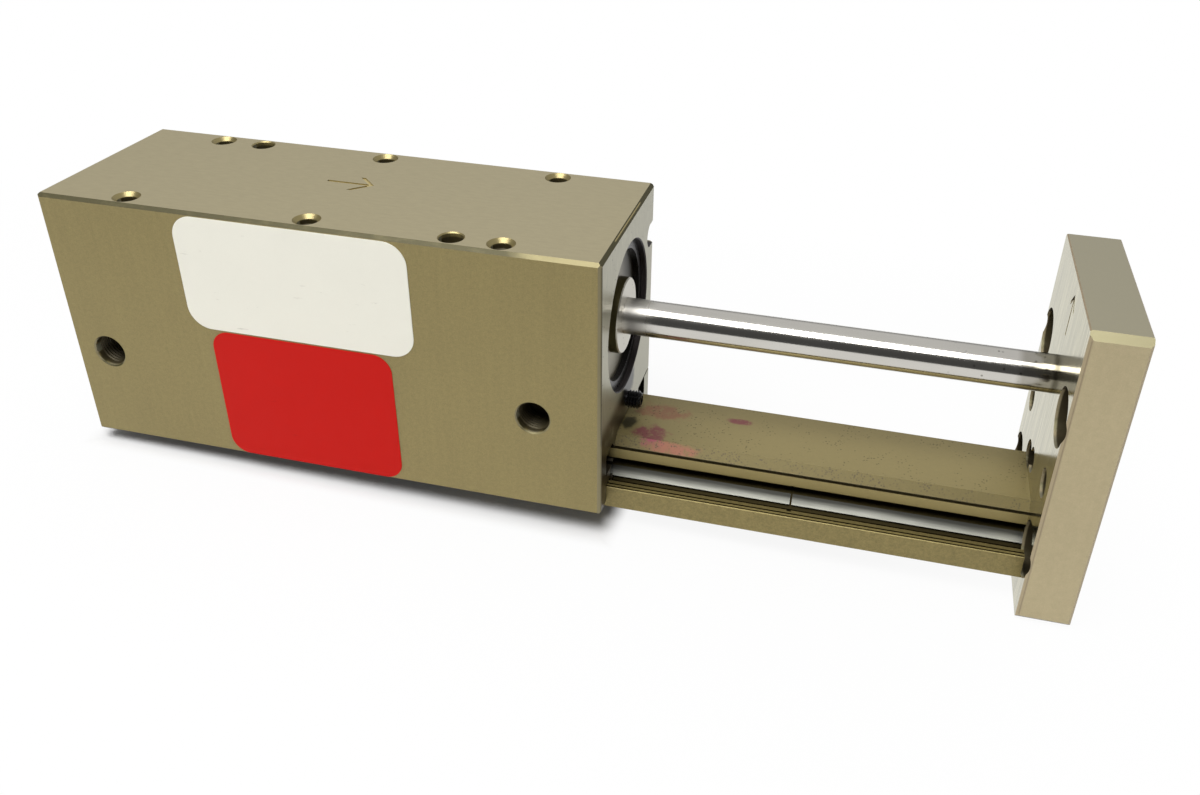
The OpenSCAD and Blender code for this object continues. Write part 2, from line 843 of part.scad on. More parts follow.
// Chromed rod with a threaded stud for the piston and a tapped end for the plate.
module piston_rod() {
    tip = plate_x + rod_seat;
    color(CHROME)
    difference() {
        union() {
            rod_x(rod_d / 2, piston_front, tip - 0.4, 0, rod_z);
            cone_x(rod_d / 2, rod_d / 2 - 0.4, tip - 0.4, tip, 0, rod_z);
            rod_x(2.95, piston_rear + 0.5, piston_front + EPS, 0, rod_z);
        }
        rod_x(2.5, tip - 16, tip + 1, 0, rod_z);
    }
}

seal_w = 3;
seal_in = 2.6;
nut_recess = 5.4;
module piston() {
    color(SILVER)
    difference() {
        rod_x(bore_d / 2 - 0.2, piston_rear, piston_front, 0, rod_z);
        rod_x(3, piston_rear - 1, piston_front + 1, 0, rod_z);
        rod_x(6.2, piston_rear - 1, piston_rear + nut_recess, 0, rod_z);
        for (x = [piston_rear + 1.6, piston_front - 1.6 - seal_w])
            ring_x(bore_d / 2 + 1, bore_d / 2 - seal_in, x, x + seal_w, 0, rod_z);
        ring_x(bore_d / 2 + 1, bore_d / 2 - 3.4, piston_mid - 1.6, piston_mid + 2, 0, rod_z);
    }
}
piston_mid = (piston_front + piston_rear) / 2;

module piston_seals() {
    color(RUBBER)
    for (x = [piston_rear + 1.6, piston_front - 1.6 - seal_w])
        ring_x(bore_d / 2 - FIT, bore_d / 2 - seal_in + SEAT, x + 0.1, x + seal_w - 0.1, 0, rod_z);
}

// The magnet lies in the bottom of the middle groove, under the wear ring.
module piston_magnet() {
    color([0.25, 0.24, 0.24])
        ring_x(bore_d / 2 - 1.6, bore_d / 2 - 3.35, piston_mid - 1.5, piston_mid + 1.9, 0, rod_z);
}

module piston_wear_ring() {
    color([0.20, 0.32, 0.42])
        ring_x(bore_d / 2 - FIT, bore_d / 2 - 1.5, piston_mid - 1.5, piston_mid + 1.9, 0, rod_z);
}

module piston_nut() {
    color(STEEL)
    difference() {
        translate([piston_rear + 0.4, 0, rod_z])
            rotate([0, 90, 0])
                cylinder(d = 10 / cos(30), h = nut_recess - 0.45, $fn = 6);
        rod_x(3, piston_rear - 1, piston_rear + nut_recess + 1, 0, rod_z);
    }
}

// ---- Roller cages, which travel half as far as the carriage ----

roller_start = cage_rear + (cage_l - (roller_count - 1) * roller_pitch) / 2;

module roller_cage(side) {
    window = roller_l + 0.45;
    color([0.72, 0.60, 0.30])
    on_side(side)
        difference() {
            translate([cage_rear, roller_half - cage_t / 2, cage_bottom])
                cube([cage_l, cage_t, cage_top - cage_bottom]);
            for (i = [0:roller_count - 1])
                translate([roller_start + i * roller_pitch - window / 2, roller_half - 2, -1])
                    cube([window, 4, apex_h + roller_d / sqrt(2) + 1.1]);
        }
}
module roller_cage_front() { roller_cage("front"); }
module roller_cage_rear() { roller_cage("rear"); }

// Every other roller leans the other way.
module rollers(side) {
    color(STEEL)
    on_side(side)
        for (i = [0:roller_count - 1])
            translate([roller_start + i * roller_pitch, roller_half, apex_h])
                rotate([i % 2 == 0 ? 45 : -45, 0, 0])
                    cylinder(d = roller_d, h = roller_l, center = true);
}
module rollers_front() { rollers("front"); }
module rollers_rear() { rollers("rear"); }

body();
way_gib();
gib_screws();
body_ways_front();
body_ways_rear();
cage_stop_screws();
stop_screw();
rod_gland();
gland_retaining_ring();
gland_o_ring();
rod_seal();
rod_wiper();
front_bumper();
rear_bumper();
white_label();
red_label();
tooling_plate();
carriage_rail();
rail_ways_front();
rail_ways_rear();
cage_stop_plate();
cage_plate_screws();
rail_screws();
rail_dowels();
rod_screw();
piston_rod();
piston();
piston_seals();
piston_wear_ring();
piston_magnet();
piston_nut();
roller_cage_front();
rollers_front();
roller_cage_rear();
rollers_rear();
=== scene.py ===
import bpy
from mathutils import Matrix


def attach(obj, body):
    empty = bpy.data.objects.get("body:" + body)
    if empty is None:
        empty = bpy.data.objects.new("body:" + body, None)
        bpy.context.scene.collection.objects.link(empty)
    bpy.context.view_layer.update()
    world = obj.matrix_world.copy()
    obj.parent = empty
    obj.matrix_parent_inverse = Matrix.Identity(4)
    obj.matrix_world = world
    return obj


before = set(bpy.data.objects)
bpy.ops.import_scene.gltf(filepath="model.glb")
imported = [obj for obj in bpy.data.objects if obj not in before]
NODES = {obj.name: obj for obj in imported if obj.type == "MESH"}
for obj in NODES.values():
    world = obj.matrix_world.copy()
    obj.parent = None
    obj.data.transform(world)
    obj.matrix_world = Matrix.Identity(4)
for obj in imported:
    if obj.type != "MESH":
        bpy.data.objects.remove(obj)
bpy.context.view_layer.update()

import math

import bpy
from mathutils import Vector

MM = 0.001

# Places on the part that its finishes, added pieces and floor share, in metres in the shared frame.
REAR_X = -0.0734
FRONT_X = 0.0756
HALF_W = 0.0265
BASE_Z = -0.0720
PLATE_X = 0.1804
PLATE_T = 0.0127
PLATE_DROP = 0.0091
PLATE_CHAMFER = 0.0003
STRIP_JOINT = PLATE_X - 0.0575
RAIL_TOP_Z = BASE_Z + 0.0153
TAP_PITCH = 0.050
TAP_ROW = 0.022
PORT_Z = -0.04475
REAR_FOOT_X = REAR_X + 0.0009
REAR_GAP = 0.0032
FLOOR_SLOPE = (PLATE_DROP - REAR_GAP) / (PLATE_X + PLATE_CHAMFER - REAR_FOOT_X)
FLOOR_SHIFT = 1.6


def tone(red, green, blue):
    """A colour as a painter mixes it on screen, 0 to 255, turned into light."""
    def light(value):
        value = value / 255
        return value / 12.92 if value <= 0.04045 else ((value + 0.055) / 1.055) ** 2.4
    return (light(red), light(green), light(blue), 1.0)


# ---- Nodes and finishes ----


def connect(tree, socket, value):
    """Joins another node's output to a socket, or sets the socket to a plain value."""
    if isinstance(value, bpy.types.NodeSocket):
        tree.links.new(value, socket)
    elif socket.type == "VECTOR":
        socket.default_value = value[:3]
    else:
        socket.default_value = value


def add_node(tree, kind, *inputs, **settings):
    """A new node with its settings, and its inputs in order. An input of None keeps its own value."""
    made = tree.nodes.new(kind)
    for key, value in settings.items():
        setattr(made, key, value)
    for index, value in enumerate(inputs):
        if value is not None:
            connect(tree, made.inputs[index], value)
    return made


def ramp(tree, value, low, high, start=0.0, end=1.0, soft=True):
    """Value turned into start below low and end above high, with a soft or a straight step between."""
    step = add_node(tree, "ShaderNodeMapRange", value, low, high, start, end)
    step.interpolation_type = "SMOOTHSTEP" if soft else "LINEAR"
    return step.outputs[0]


class Finish:
    """One node material. Sizes are in millimetres and patterns lie on the object's own coordinates."""

    def __init__(self, name, colour, metallic, roughness, **sockets):
        self.material = bpy.data.materials.new(name)
        self.material.use_nodes = True
        self.tree = self.material.node_tree
        self.tree.nodes.clear()
        self.shader = self.node("ShaderNodeBsdfPrincipled")
        self.node("ShaderNodeOutputMaterial", self.shader.outputs[0])
        self.coords = self.node("ShaderNodeTexCoord")
        self.colour = colour
        self.roughness = roughness
        self.metallic = metallic
        self.height = None
        for socket, value in sockets.items():
            self.shader.inputs[socket.replace("_", " ")].default_value = value

    def node(self, kind, *inputs, **settings):
        return add_node(self.tree, kind, *inputs, **settings)

    def sums(self, operation, a, b=None, clamp=False):
        return self.node("ShaderNodeMath", a, b, operation=operation, use_clamp=clamp).outputs[0]

    def blend(self, factor, a, b):
        mixer = self.node("ShaderNodeMix", data_type="RGBA")
        for index, value in ((0, factor), (6, a), (7, b)):
            connect(self.tree, mixer.inputs[index], value)
        return mixer.outputs[2]

    def ease(self, value, low, high):
        """Nothing below low and everything above high, with a soft step between."""
        return ramp(self.tree, value, low, high)

    def pattern(self, kind, size, stretch, **inputs):
        """A pattern with features of about size millimetres, drawn out along an axis stretched under 1."""
        mapping = self.node("ShaderNodeMapping", self.coords.outputs["Object"])
        mapping.inputs["Scale"].default_value = stretch
        made = self.node(kind, mapping.outputs[0])
        made.inputs["Scale"].default_value = 1.0 / (size * MM)
        for name, value in inputs.items():
            made.inputs[name].default_value = value
        return made.outputs[0]

    def noise(self, size, detail=3.0, rough=0.55, stretch=(1, 1, 1), distort=0.0):
        return self.pattern("ShaderNodeTexNoise", size, stretch, Detail=detail, Roughness=rough,
            Distortion=distort)

    def cells(self, size):
        return self.pattern("ShaderNodeTexVoronoi", size, (1, 1, 1))

    def axis(self, letter):
        split = self.node("ShaderNodeSeparateXYZ", self.coords.outputs["Object"])
        return split.outputs["XYZ".index(letter)]

    def facing(self, letter, sign=0):
        """How far the surface faces along an axis: one way, or either way when sign is 0."""
        split = self.node("ShaderNodeSeparateXYZ", self.coords.outputs["Normal"])
        side = split.outputs["XYZ".index(letter)]
        if sign == 0:
            return self.sums("ABSOLUTE", side)
        return self.sums("MULTIPLY", side, float(sign))

    def square(self, letter, sign=0, start=0.93):
        """Mask of the surfaces that face squarely along an axis."""
        return self.ease(self.facing(letter, sign), start, 0.99)

    def leans(self, letter, sign=0):
        """Mask of the surfaces that lean at least half way towards an axis."""
        return self.ease(self.facing(letter, sign), 0.4, 0.6)

    def at(self, letter, none, full, origin=0.0):
        """Mask that grows from none to full along an axis, in millimetres from an origin in metres."""
        return self.ease(self.axis(letter), origin + none * MM, origin + full * MM)

    def out(self, none, full):
        """Mask that grows from none to full with the distance from the centre plane, in millimetres."""
        return self.ease(self.sums("ABSOLUTE", self.axis("Y")), none * MM, full * MM)

    def most(self, *masks):
        """Mask of where any of them is."""
        total = masks[0]
        for mask in masks[1:]:
            total = self.sums("MAXIMUM", total, mask)
        return total

    def both(self, *masks):
        """Mask of where all of them are."""
        total = masks[0]
        for mask in masks[1:]:
            total = self.sums("MULTIPLY", total, mask)
        return total

    def inverse(self, mask):
        return self.sums("SUBTRACT", 1.0, mask)

    def spot(self, centre, radii, wobble=0.35, size=3.0):
        """A soft, ragged patch: its centre in metres, its radii and its ragged edge in millimetres."""
        where = self.coords.outputs["Object"]
        shares = tuple(1 / (radius * MM) for radius in radii)
        moved = self.node("ShaderNodeVectorMath", where, centre, operation="SUBTRACT")
        scaled = self.node("ShaderNodeVectorMath", moved.outputs[0], shares, operation="MULTIPLY")
        reach = self.node("ShaderNodeVectorMath", scaled.outputs[0], operation="LENGTH").outputs["Value"]
        ragged = self.sums("MULTIPLY", self.sums("SUBTRACT", self.noise(size, 4), 0.5), wobble * 2)
        return self.ease(self.sums("ADD", reach, ragged), 1.15, 0.55)

    def tint(self, factor, colour, amount=1.0):
        if amount != 1.0:
            factor = self.sums("MULTIPLY", factor, amount)
        self.colour = self.blend(factor, self.colour, colour)

    def shade(self, value, low, high):
        """Multiplies the colour by a grey that runs from low to high as value runs from 0 to 1."""
        grey = self.towards(value, low, high)
        scaled = self.node("ShaderNodeVectorMath", self.colour, operation="SCALE")
        connect(self.tree, scaled.inputs["Scale"], grey)
        self.colour = scaled.outputs[0]

    def towards(self, factor, start, end):
        """Start where the factor is 0 and end where it is 1."""
        return ramp(self.tree, factor, 0.0, 1.0, start, end, soft=False)

    def bare(self, factor, metallic):
        self.metallic = self.towards(factor, self.metallic, metallic)

    def polish(self, factor, roughness):
        self.roughness = self.towards(factor, self.roughness, roughness)

    def vary(self, value, spread):
        """Roughness wanders by spread either way."""
        offset = self.sums("MULTIPLY", self.sums("SUBTRACT", value, 0.5), spread * 2)
        self.roughness = self.sums("ADD", self.roughness, offset, clamp=True)

    def relief(self, value, depth):
        """Adds height to the surface, in millimetres."""
        tall = self.sums("MULTIPLY", value, depth * MM)
        self.height = tall if self.height is None else self.sums("ADD", self.height, tall)

    def done(self):
        looks = {"Base Color": self.colour, "Roughness": self.roughness, "Metallic": self.metallic}
        for socket, value in looks.items():
            connect(self.tree, self.shader.inputs[socket], value)
        if self.height is not None:
            bump = self.node("ShaderNodeBump")
            for socket, value in (("Strength", 1.0), ("Distance", 1.0), ("Height", self.height)):
                connect(self.tree, bump.inputs[socket], value)
            connect(self.tree, self.shader.inputs["Normal"], bump.outputs[0])
        return self.material


def paint(name, material):
    piece = NODES[name]
    piece.data.materials.clear()
    piece.data.materials.append(material)


OLIVE = tone(150, 136, 89)
HOUSING_TOP = tone(160, 151, 123)
RAIL_OLIVE = tone(140, 126, 78)
PLATE_SIDE = tone(187, 173, 137)
PLATE_TOP = tone(146, 142, 122)
SHADE_AND_GREASE_BLACK = tone(22, 18, 9)
MAGENTA = tone(122, 24, 66)


def edges(finish):
    """Mask of the narrow chamfers, whose surface faces along no single axis."""
    straight = finish.most(finish.facing("Y"), finish.facing("Z"), finish.facing("X"))
    return finish.ease(straight, 0.93, 0.80)


def anodised_housing():
    f = Finish("housing_anodised", OLIVE, 0.45, 0.46)
    f.shade(f.noise(38, 2), 0.93, 1.06)
    f.shade(f.noise(1.1, 4, 0.65), 0.82, 1.16)
    grain = f.noise(0.32, 2, 0.7)
    f.shade(grain, 0.74, 1.24)
    f.shade(f.noise(1.6, 3, 0.6, stretch=(1, 1, 0.05)), 0.93, 1.07)
    f.vary(grain, 0.08)
    f.relief(grain, 0.006)

    # painted light: the top face is painted greyer, as it catches the light
    top = f.square("Z", 1, 0.9)
    f.tint(top, HOUSING_TOP, 0.85)
    f.shade(f.blend(top, (0.5, 0.5, 0.5, 1), f.noise(0.9, 3, 0.7, stretch=(0.25, 1, 1))), 0.88, 1.12)

    # both end faces are ground bare and pitted, and darker and browner low down on the port side
    end = f.square("X")
    ground = f.noise(0.5, 3, 0.6, stretch=(1, 1, 0.12))
    bare = f.blend(ground, tone(152, 149, 126), tone(190, 186, 160))
    low = f.both(f.at("Z", 27, 22, BASE_Z), f.at("Y", 2, -4), f.at("X", 0, 10))
    darker_low = f.both(low, f.ease(f.noise(6, 3), 0.15, 0.45))
    bare = f.blend(darker_low, bare, tone(78, 66, 42))
    drip = f.spot((FRONT_X, 0.001, BASE_Z + 0.0235), (4, 7.5, 4.2), 0.45, 4.0)
    bare = f.blend(drip, bare, SHADE_AND_GREASE_BLACK)
    pits = f.both(f.ease(f.cells(1.7), 0.16, 0.09), f.ease(f.noise(6, 2), 0.50, 0.60))
    bare = f.blend(pits, bare, tone(70, 60, 44))
    f.tint(end, bare)
    f.relief(f.both(pits, end), -0.05)
    f.polish(end, 0.34)

    # painted light and shade on the chamfers: the long top edge is painted dark as shade, and painted
    # bright only close to the rod end, partly as a highlight and partly as wear
    edge = edges(f)
    upper = f.both(f.leans("Z", 1), f.leans("Y", -1))
    chance = f.sums("SUBTRACT", f.noise(2.5, 4, 0.7, stretch=(0.5, 1, 1)), 0.5)
    highlight_and_wear = f.sums("ADD", f.at("X", 52, 60), f.sums("MULTIPLY", chance, 0.9), clamp=True)
    lip = f.blend(f.both(upper, highlight_and_wear), tone(62, 59, 35), tone(142, 133, 95))
    upright = f.both(f.leans("Y", -1), f.leans("X"))
    lip = f.blend(upright, lip, tone(146, 137, 106))
    countersink = f.both(edge, f.out(25.55, 25.45), f.at("X", 60, 59), f.at("X", -60, -59),
        f.at("Z", -1.2, -1.1))
    f.tint(edge, lip, 0.9)
    f.tint(countersink, tone(150, 137, 94), 0.9)
    f.polish(edge, 0.50)
    f.polish(countersink, 0.36)
    f.bare(countersink, 0.65)

    # the engraved arrow catches the light
    mark = f.both(f.at("Z", -0.2, -0.3), f.at("Z", -0.5, -0.4), f.out(13, 12))
    f.tint(mark, tone(184, 168, 118), 0.85)

    # painted shade inside the bores, holes and the slide channel: darker olive throughout, violet black on
    # the bore walls and near black in the channel
    inside = f.both(f.at("Z", -0.8, -1.4), f.at("Y", 0.4, 1.2, -HALF_W), f.at("Y", -0.4, -1.2, HALF_W),
        f.inverse(end))
    f.tint(inside, tone(62, 54, 33), 0.9)
    bore = f.both(inside, f.at("X", -6, -4, FRONT_X), f.at("Z", 21, 22, BASE_Z))
    f.tint(bore, tone(40, 34, 42), 0.8)
    channel = f.both(f.at("Z", 16.5, 15.5, BASE_Z), f.at("Y", -21.5, -20.5), f.at("Y", 25, 24),
        f.inverse(end))
    f.tint(channel, SHADE_AND_GREASE_BLACK, 0.7)
    return f.done()


def anodised_rail():
    f = Finish("rail_anodised", RAIL_OLIVE, 0.45, 0.42)
    f.shade(f.noise(24, 3), 0.88, 1.08)
    f.shade(f.ease(f.noise(1.1, 4, 0.7), 0.3, 0.7), 0.88, 1.10)
    grain = f.noise(0.35, 2, 0.7)
    f.shade(f.ease(grain, 0.25, 0.75), 0.84, 1.14)
    f.shade(f.noise(0.9, 3, 0.65, stretch=(1, 0.06, 1)), 0.90, 1.08)
    f.vary(grain, 0.08)
    f.relief(grain, 0.008)

    # painted shade: the grooves, the seats, the ledge and the line under the top edge are painted dark
    # where shade falls, the deepest near black and fully metallic so they stay dark; the joint of the
    # strips is dark as well
    deep = f.both(f.out(13.3, 13.6), f.out(17.55, 17.4), f.at("Z", 5.1, 4.6, BASE_Z))
    root = f.both(f.out(12.68, 12.6), f.at("Z", 9.45, 9.38, BASE_Z))
    seat = f.both(f.out(13.7, 13.65), f.at("Z", 8.5, 8, BASE_Z), f.at("Z", 1.2, 1.4, BASE_Z))
    ledge = f.both(f.out(18.68, 18.6), f.at("Z", 5.6, 5.3, BASE_Z), f.at("Z", 1.2, 1.4, BASE_Z))
    grooves = f.both(f.at("Z", 5.15, 5.1, BASE_Z), f.at("Z", 4.6, 4.65, BASE_Z), f.out(20.2, 20.18))
    line = f.both(f.out(12.69, 12.62), f.at("Z", 11.8, 12.1, BASE_Z), f.at("Z", 13.15, 13.1, BASE_Z))
    from_joint = f.sums("ABSOLUTE", f.sums("SUBTRACT", f.axis("X"), STRIP_JOINT))
    gap = f.both(f.ease(from_joint, 0.7 * MM, 0.4 * MM), f.out(18.1, 17.9), f.at("Z", 9.5, 9.2, BASE_Z))
    shaded_grooves_and_joint = f.most(deep, root, seat, grooves, gap)
    f.tint(shaded_grooves_and_joint, SHADE_AND_GREASE_BLACK, 0.95)
    f.bare(shaded_grooves_and_joint, 1.0)
    f.tint(line, SHADE_AND_GREASE_BLACK, 0.75)
    f.tint(ledge, SHADE_AND_GREASE_BLACK, 0.3)

    # painted light and shade: the top is painted lighter than its sloped edges, which are painted dark,
    # and darker than the band under them, which is painted light
    high = f.at("Z", -2.6, -2.2, RAIL_TOP_Z)
    f.tint(f.both(high, f.square("Z", 1, 0.9)), tone(146, 133, 90), 0.8)
    band = f.both(f.out(12.76, 12.74), f.out(12.6, 12.65), f.at("Z", 9.2, 9.5, BASE_Z))
    f.tint(band, tone(172, 156, 104), 0.8)
    slope = f.both(f.ease(f.facing("Z", 1), 0.5, 0.65), f.ease(f.facing("Z", 1), 0.85, 0.75))
    f.tint(f.both(high, slope), tone(76, 66, 26), 0.85)

    # marker stains near the housing, then oil, dark specks and a rubbed edge
    def patch(x, y, radii, wobble, drop=0.0):
        return f.spot((x * MM, y * MM, RAIL_TOP_Z - drop * MM), radii, wobble)

    top = f.at("Z", -2.4, -2, RAIL_TOP_Z)
    faint = f.most(patch(85, 3, (7.5, 3.8, 6), 0.8), patch(90.5, -12.2, (8.5, 2.2, 2.5), 0.7, 0.6))
    ragged = f.ease(f.noise(1.6, 5, 0.7), 0.24, 0.54)
    f.tint(f.both(faint, top, ragged), tone(140, 66, 62), 0.5)
    stain = f.most(patch(84.2, -7.8, (5.2, 4.2, 6), 0.9), patch(106.4, 3.9, (3.4, 1.6, 6), 0.5))
    f.tint(f.both(stain, top, ragged), MAGENTA, 0.72)
    f.tint(f.both(patch(77.5, -4, (2.2, 3.6, 6), 0.6), top), tone(34, 34, 20), 0.85)
    specks = f.both(f.ease(f.cells(0.9), 0.32, 0.16), f.ease(f.noise(6, 3), 0.48, 0.62))
    f.tint(f.both(specks, top), tone(60, 50, 30), 0.55)
    rubbed = f.both(f.ease(f.cells(0.7), 0.42, 0.22), f.ease(f.noise(5, 3), 0.40, 0.56),
        f.at("Y", -9.5, -11.2))
    f.tint(f.both(rubbed, top), tone(58, 48, 26), 0.75)

    f.tint(f.square("X"), tone(205, 201, 188), 0.8)
    return f.done()


def ground_plate():
    f = Finish("plate_champagne", PLATE_SIDE, 0.5, 0.42)
    f.shade(f.noise(30, 2), 0.95, 1.05)
    f.shade(f.noise(1.2, 4, 0.65), 0.88, 1.10)
    grain = f.noise(0.30, 2, 0.7)
    f.shade(grain, 0.88, 1.10)
    f.shade(f.noise(1.5, 3, 0.6, stretch=(1, 1, 0.06)), 0.95, 1.05)
    f.vary(grain, 0.07)
    f.relief(grain, 0.005)

    # painted light: the top face is painted greyer and darker than the sides, for the way the light falls
    # on it
    f.tint(f.square("Z", 1, 0.9), PLATE_TOP, 0.85)

    # painted light and shade on the chamfers: only the long top edge towards the ports is painted bright
    # as a highlight, and the bottom edges are painted dark as shade
    edge = edges(f)
    upper = f.both(f.leans("Z", 1), f.leans("Y", -1))
    under = f.leans("Z", -1)
    lip = f.blend(f.noise(1.0, 3), tone(150, 136, 108), tone(180, 160, 134))
    lip = f.blend(upper, lip, tone(148, 142, 108))
    f.tint(f.both(edge, f.leans("Z")), f.blend(under, lip, tone(70, 64, 54)), 0.9)
    f.tint(f.both(edge, f.ease(f.facing("Z"), 0.6, 0.4)), lip, 0.55)

    # both broad faces are brushed bare
    broad_face = f.square("X")
    brushed = f.noise(0.6, 4, 0.65, stretch=(1, 1, 0.035))
    f.tint(broad_face, f.blend(f.ease(brushed, 0.3, 0.7), tone(144, 140, 110), tone(192, 186, 150)))
    f.relief(f.both(brushed, broad_face), 0.004)
    f.polish(broad_face, 0.17)
    f.bare(broad_face, 0.95)

    # painted shade inside the plate's holes: dark olive
    inside = f.both(f.at("X", 0.4, 0.9, PLATE_X), f.at("X", -0.4, -0.9, PLATE_X + PLATE_T),
        f.out(26.9, 26.7), f.at("Z", -2.9, -3.1), f.at("Z", -7.2, -7, BASE_Z))
    f.tint(inside, tone(58, 50, 29), 0.9)
    f.polish(inside, 0.30)
    return f.done()


def chromed_rod():
    f = Finish("hard_chrome", tone(204, 201, 194), 1.0, 0.14)
    f.relief(f.noise(0.25, 2, 0.5, stretch=(1, 0.03, 0.03)), 0.0045)
    f.vary(f.noise(2.5, 3, stretch=(0.2, 1, 1)), 0.05)
    f.shade(f.noise(5, 3, 0.6, stretch=(0.3, 1, 1)), 0.90, 1.06)
    f.polish(f.at("X", 10, 2, FRONT_X), 0.36)
    # nicks close to the plate, a darker and warmer stretch just before it, and painted shade where the rod
    # meets the plate
    near_plate = f.at("X", -30, -6, PLATE_X)
    nicks = f.both(f.ease(f.cells(1.9), 0.20, 0.12), f.ease(f.noise(5, 2), 0.44, 0.54), near_plate)
    f.tint(nicks, tone(52, 46, 34), 0.85)
    f.tint(f.at("X", -9.5, -7, PLATE_X), tone(104, 96, 74), 0.45)
    f.tint(f.at("X", -1.2, -0.2, PLATE_X), tone(70, 64, 40), 0.6)
    return f.done()


def turned_gland():
    f = Finish("gland_turned", tone(150, 144, 124), 0.75, 0.34)
    f.shade(f.noise(0.3, 2, 0.7), 0.88, 1.08)
    # painted shade: the sunken ring round the boss is clean on the port side and painted black towards the
    # other side
    f.tint(f.both(f.at("Y", -4, 10), f.at("X", -2.2, -3, FRONT_X)), SHADE_AND_GREASE_BLACK, 0.85)
    # the sides of the boss keep their olive colour, its face is pitted silver
    side = f.ease(f.facing("X"), 0.75, 0.6)
    f.tint(side, tone(92, 84, 46), 0.9)
    boss = f.at("X", -1.2, -0.7, FRONT_X)
    f.tint(f.both(boss, f.inverse(side)), tone(200, 196, 184))
    pits = f.both(f.ease(f.cells(1.4), 0.17, 0.10), f.ease(f.noise(4, 2), 0.46, 0.56), boss)
    f.tint(pits, tone(60, 52, 40), 0.85)
    f.relief(pits, -0.04)
    f.relief(f.noise(0.3, 2), 0.004)
    return f.done()


def ground_steel(name, colour, roughness=0.28, along=(0.04, 1, 1)):
    f = Finish(name, colour, 0.95, roughness)
    f.shade(f.noise(0.35, 3, 0.6, stretch=along), 0.86, 1.10)
    f.vary(f.noise(3, 3, stretch=along), 0.08)
    f.relief(f.noise(0.25, 2, 0.5, stretch=along), 0.002)
    return f.done()


def strip_with_painted_shade():
    """The rail's hardened strips: bright where the rollers run, with painted shade making them near black
    towards the root.
    """
    f = Finish("strip_with_painted_shade", tone(132, 132, 124), 0.95, 0.42)
    f.shade(f.noise(0.5, 4, 0.65, stretch=(0.05, 1, 1)), 0.72, 1.24)
    uneven = f.sums("MULTIPLY", f.noise(1.2, 3, 0.6, stretch=(0.06, 1, 1)), 0.9 * MM)
    root = f.sums("ADD", f.axis("Z"), uneven)
    f.tint(f.ease(root, BASE_Z + 0.0043, BASE_Z + 0.0061), tone(34, 34, 31), 0.95)
    f.vary(f.noise(3, 3, stretch=(0.1, 1, 1)), 0.08)
    f.relief(f.noise(0.25, 2, 0.5, stretch=(0.04, 1, 1)), 0.002)
    return f.done()


def black_oxide(name, colour=(0.012, 0.012, 0.013, 1), roughness=0.34):
    f = Finish(name, colour, 0.5, roughness)
    f.shade(f.noise(1.2, 3), 0.7, 1.4)
    f.vary(f.noise(0.8, 3), 0.12)
    f.relief(f.noise(0.2, 2), 0.004)
    return f.done()


def moulded(name, colour, roughness, grain=0.15):
    f = Finish(name, colour, 0.0, roughness)
    f.shade(f.noise(4, 3), 0.88, 1.10)
    f.vary(f.noise(1.5, 2), 0.06)
    f.relief(f.noise(grain, 2), 0.004)
    return f.done()


def film_label(name, colour, soiled, roughness, shine):
    f = Finish(name, colour, 0.0, roughness, Specular_IOR_Level=shine)
    f.shade(f.noise(22, 3), 0.965, 1.02)
    f.shade(f.noise(0.4, 2, 0.6), 0.985, 1.01)
    scratches = f.noise(0.9, 4, 0.65, stretch=(0.15, 1, 1), distort=0.4)
    f.tint(f.both(f.ease(scratches, 0.66, 0.72), f.ease(f.noise(14, 2), 0.45, 0.6)), soiled, 0.35)
    f.relief(f.noise(9, 3), 0.05)
    f.relief(f.noise(0.5, 2), 0.002)
    f.vary(f.noise(5, 3), 0.06)
    return f.done()


HOUSING = anodised_housing()
RAIL = anodised_rail()
PLATE = ground_plate()
EXPOSED_STRIP = strip_with_painted_shade()
BLACK_SCREW = black_oxide("black_oxide_steel")
OILY_SCREW = black_oxide("oiled_stop_screw", (0.006, 0.006, 0.007, 1), 0.28)
STRIP = ground_steel("hardened_strip", tone(196, 196, 190), 0.30)
ROLLER = ground_steel("roller_steel", tone(206, 206, 202), 0.16, (1, 1, 1))
PLAIN_STEEL = ground_steel("plain_steel", tone(160, 160, 158), 0.36, (1, 1, 1))
BLACK_RUBBER = moulded("black_rubber", tone(26, 26, 27), 0.62)
URETHANE = moulded("amber_urethane", tone(178, 132, 48), 0.42)
WHITE_FILM = film_label("white_film", tone(246, 244, 230), tone(170, 165, 150), 0.48, 0.5)
RED_FILM = film_label("red_film", tone(204, 20, 10), tone(150, 20, 18), 0.42, 0.12)

for name in ("body", "way_gib"):
    paint(name, HOUSING)
for name in ("gib_screws", "cage_stop_screws", "rail_screws", "rod_screw", "cage_plate_screws"):
    paint(name, BLACK_SCREW)
for name in ("body_ways_front", "body_ways_rear"):
    paint(name, STRIP)
for name in ("rail_ways_front", "rail_ways_rear"):
    paint(name, EXPOSED_STRIP)
for name in ("rollers_front", "rollers_rear"):
    paint(name, ROLLER)
for name in ("cage_stop_plate", "rail_dowels", "piston_nut"):
    paint(name, PLAIN_STEEL)
for name in ("gland_o_ring", "rod_seal", "rod_wiper", "piston_seals"):
    paint(name, BLACK_RUBBER)
for name in ("front_bumper", "rear_bumper"):
    paint(name, URETHANE)
for name in ("roller_cage_front", "roller_cage_rear"):
    paint(name, ground_steel(name + "_brass", tone(186, 150, 74), 0.34))
paint("stop_screw", OILY_SCREW)
paint("rod_gland", turned_gland())
paint("gland_retaining_ring", black_oxide("phosphated_ring", tone(30, 27, 26), 0.30))
paint("white_label", WHITE_FILM)
paint("red_label", RED_FILM)
paint("tooling_plate", PLATE)
paint("carriage_rail", RAIL)
paint("piston_rod", chromed_rod())
paint("piston", ground_steel("piston_turned", tone(196, 194, 188), 0.34, (1, 1, 1)))
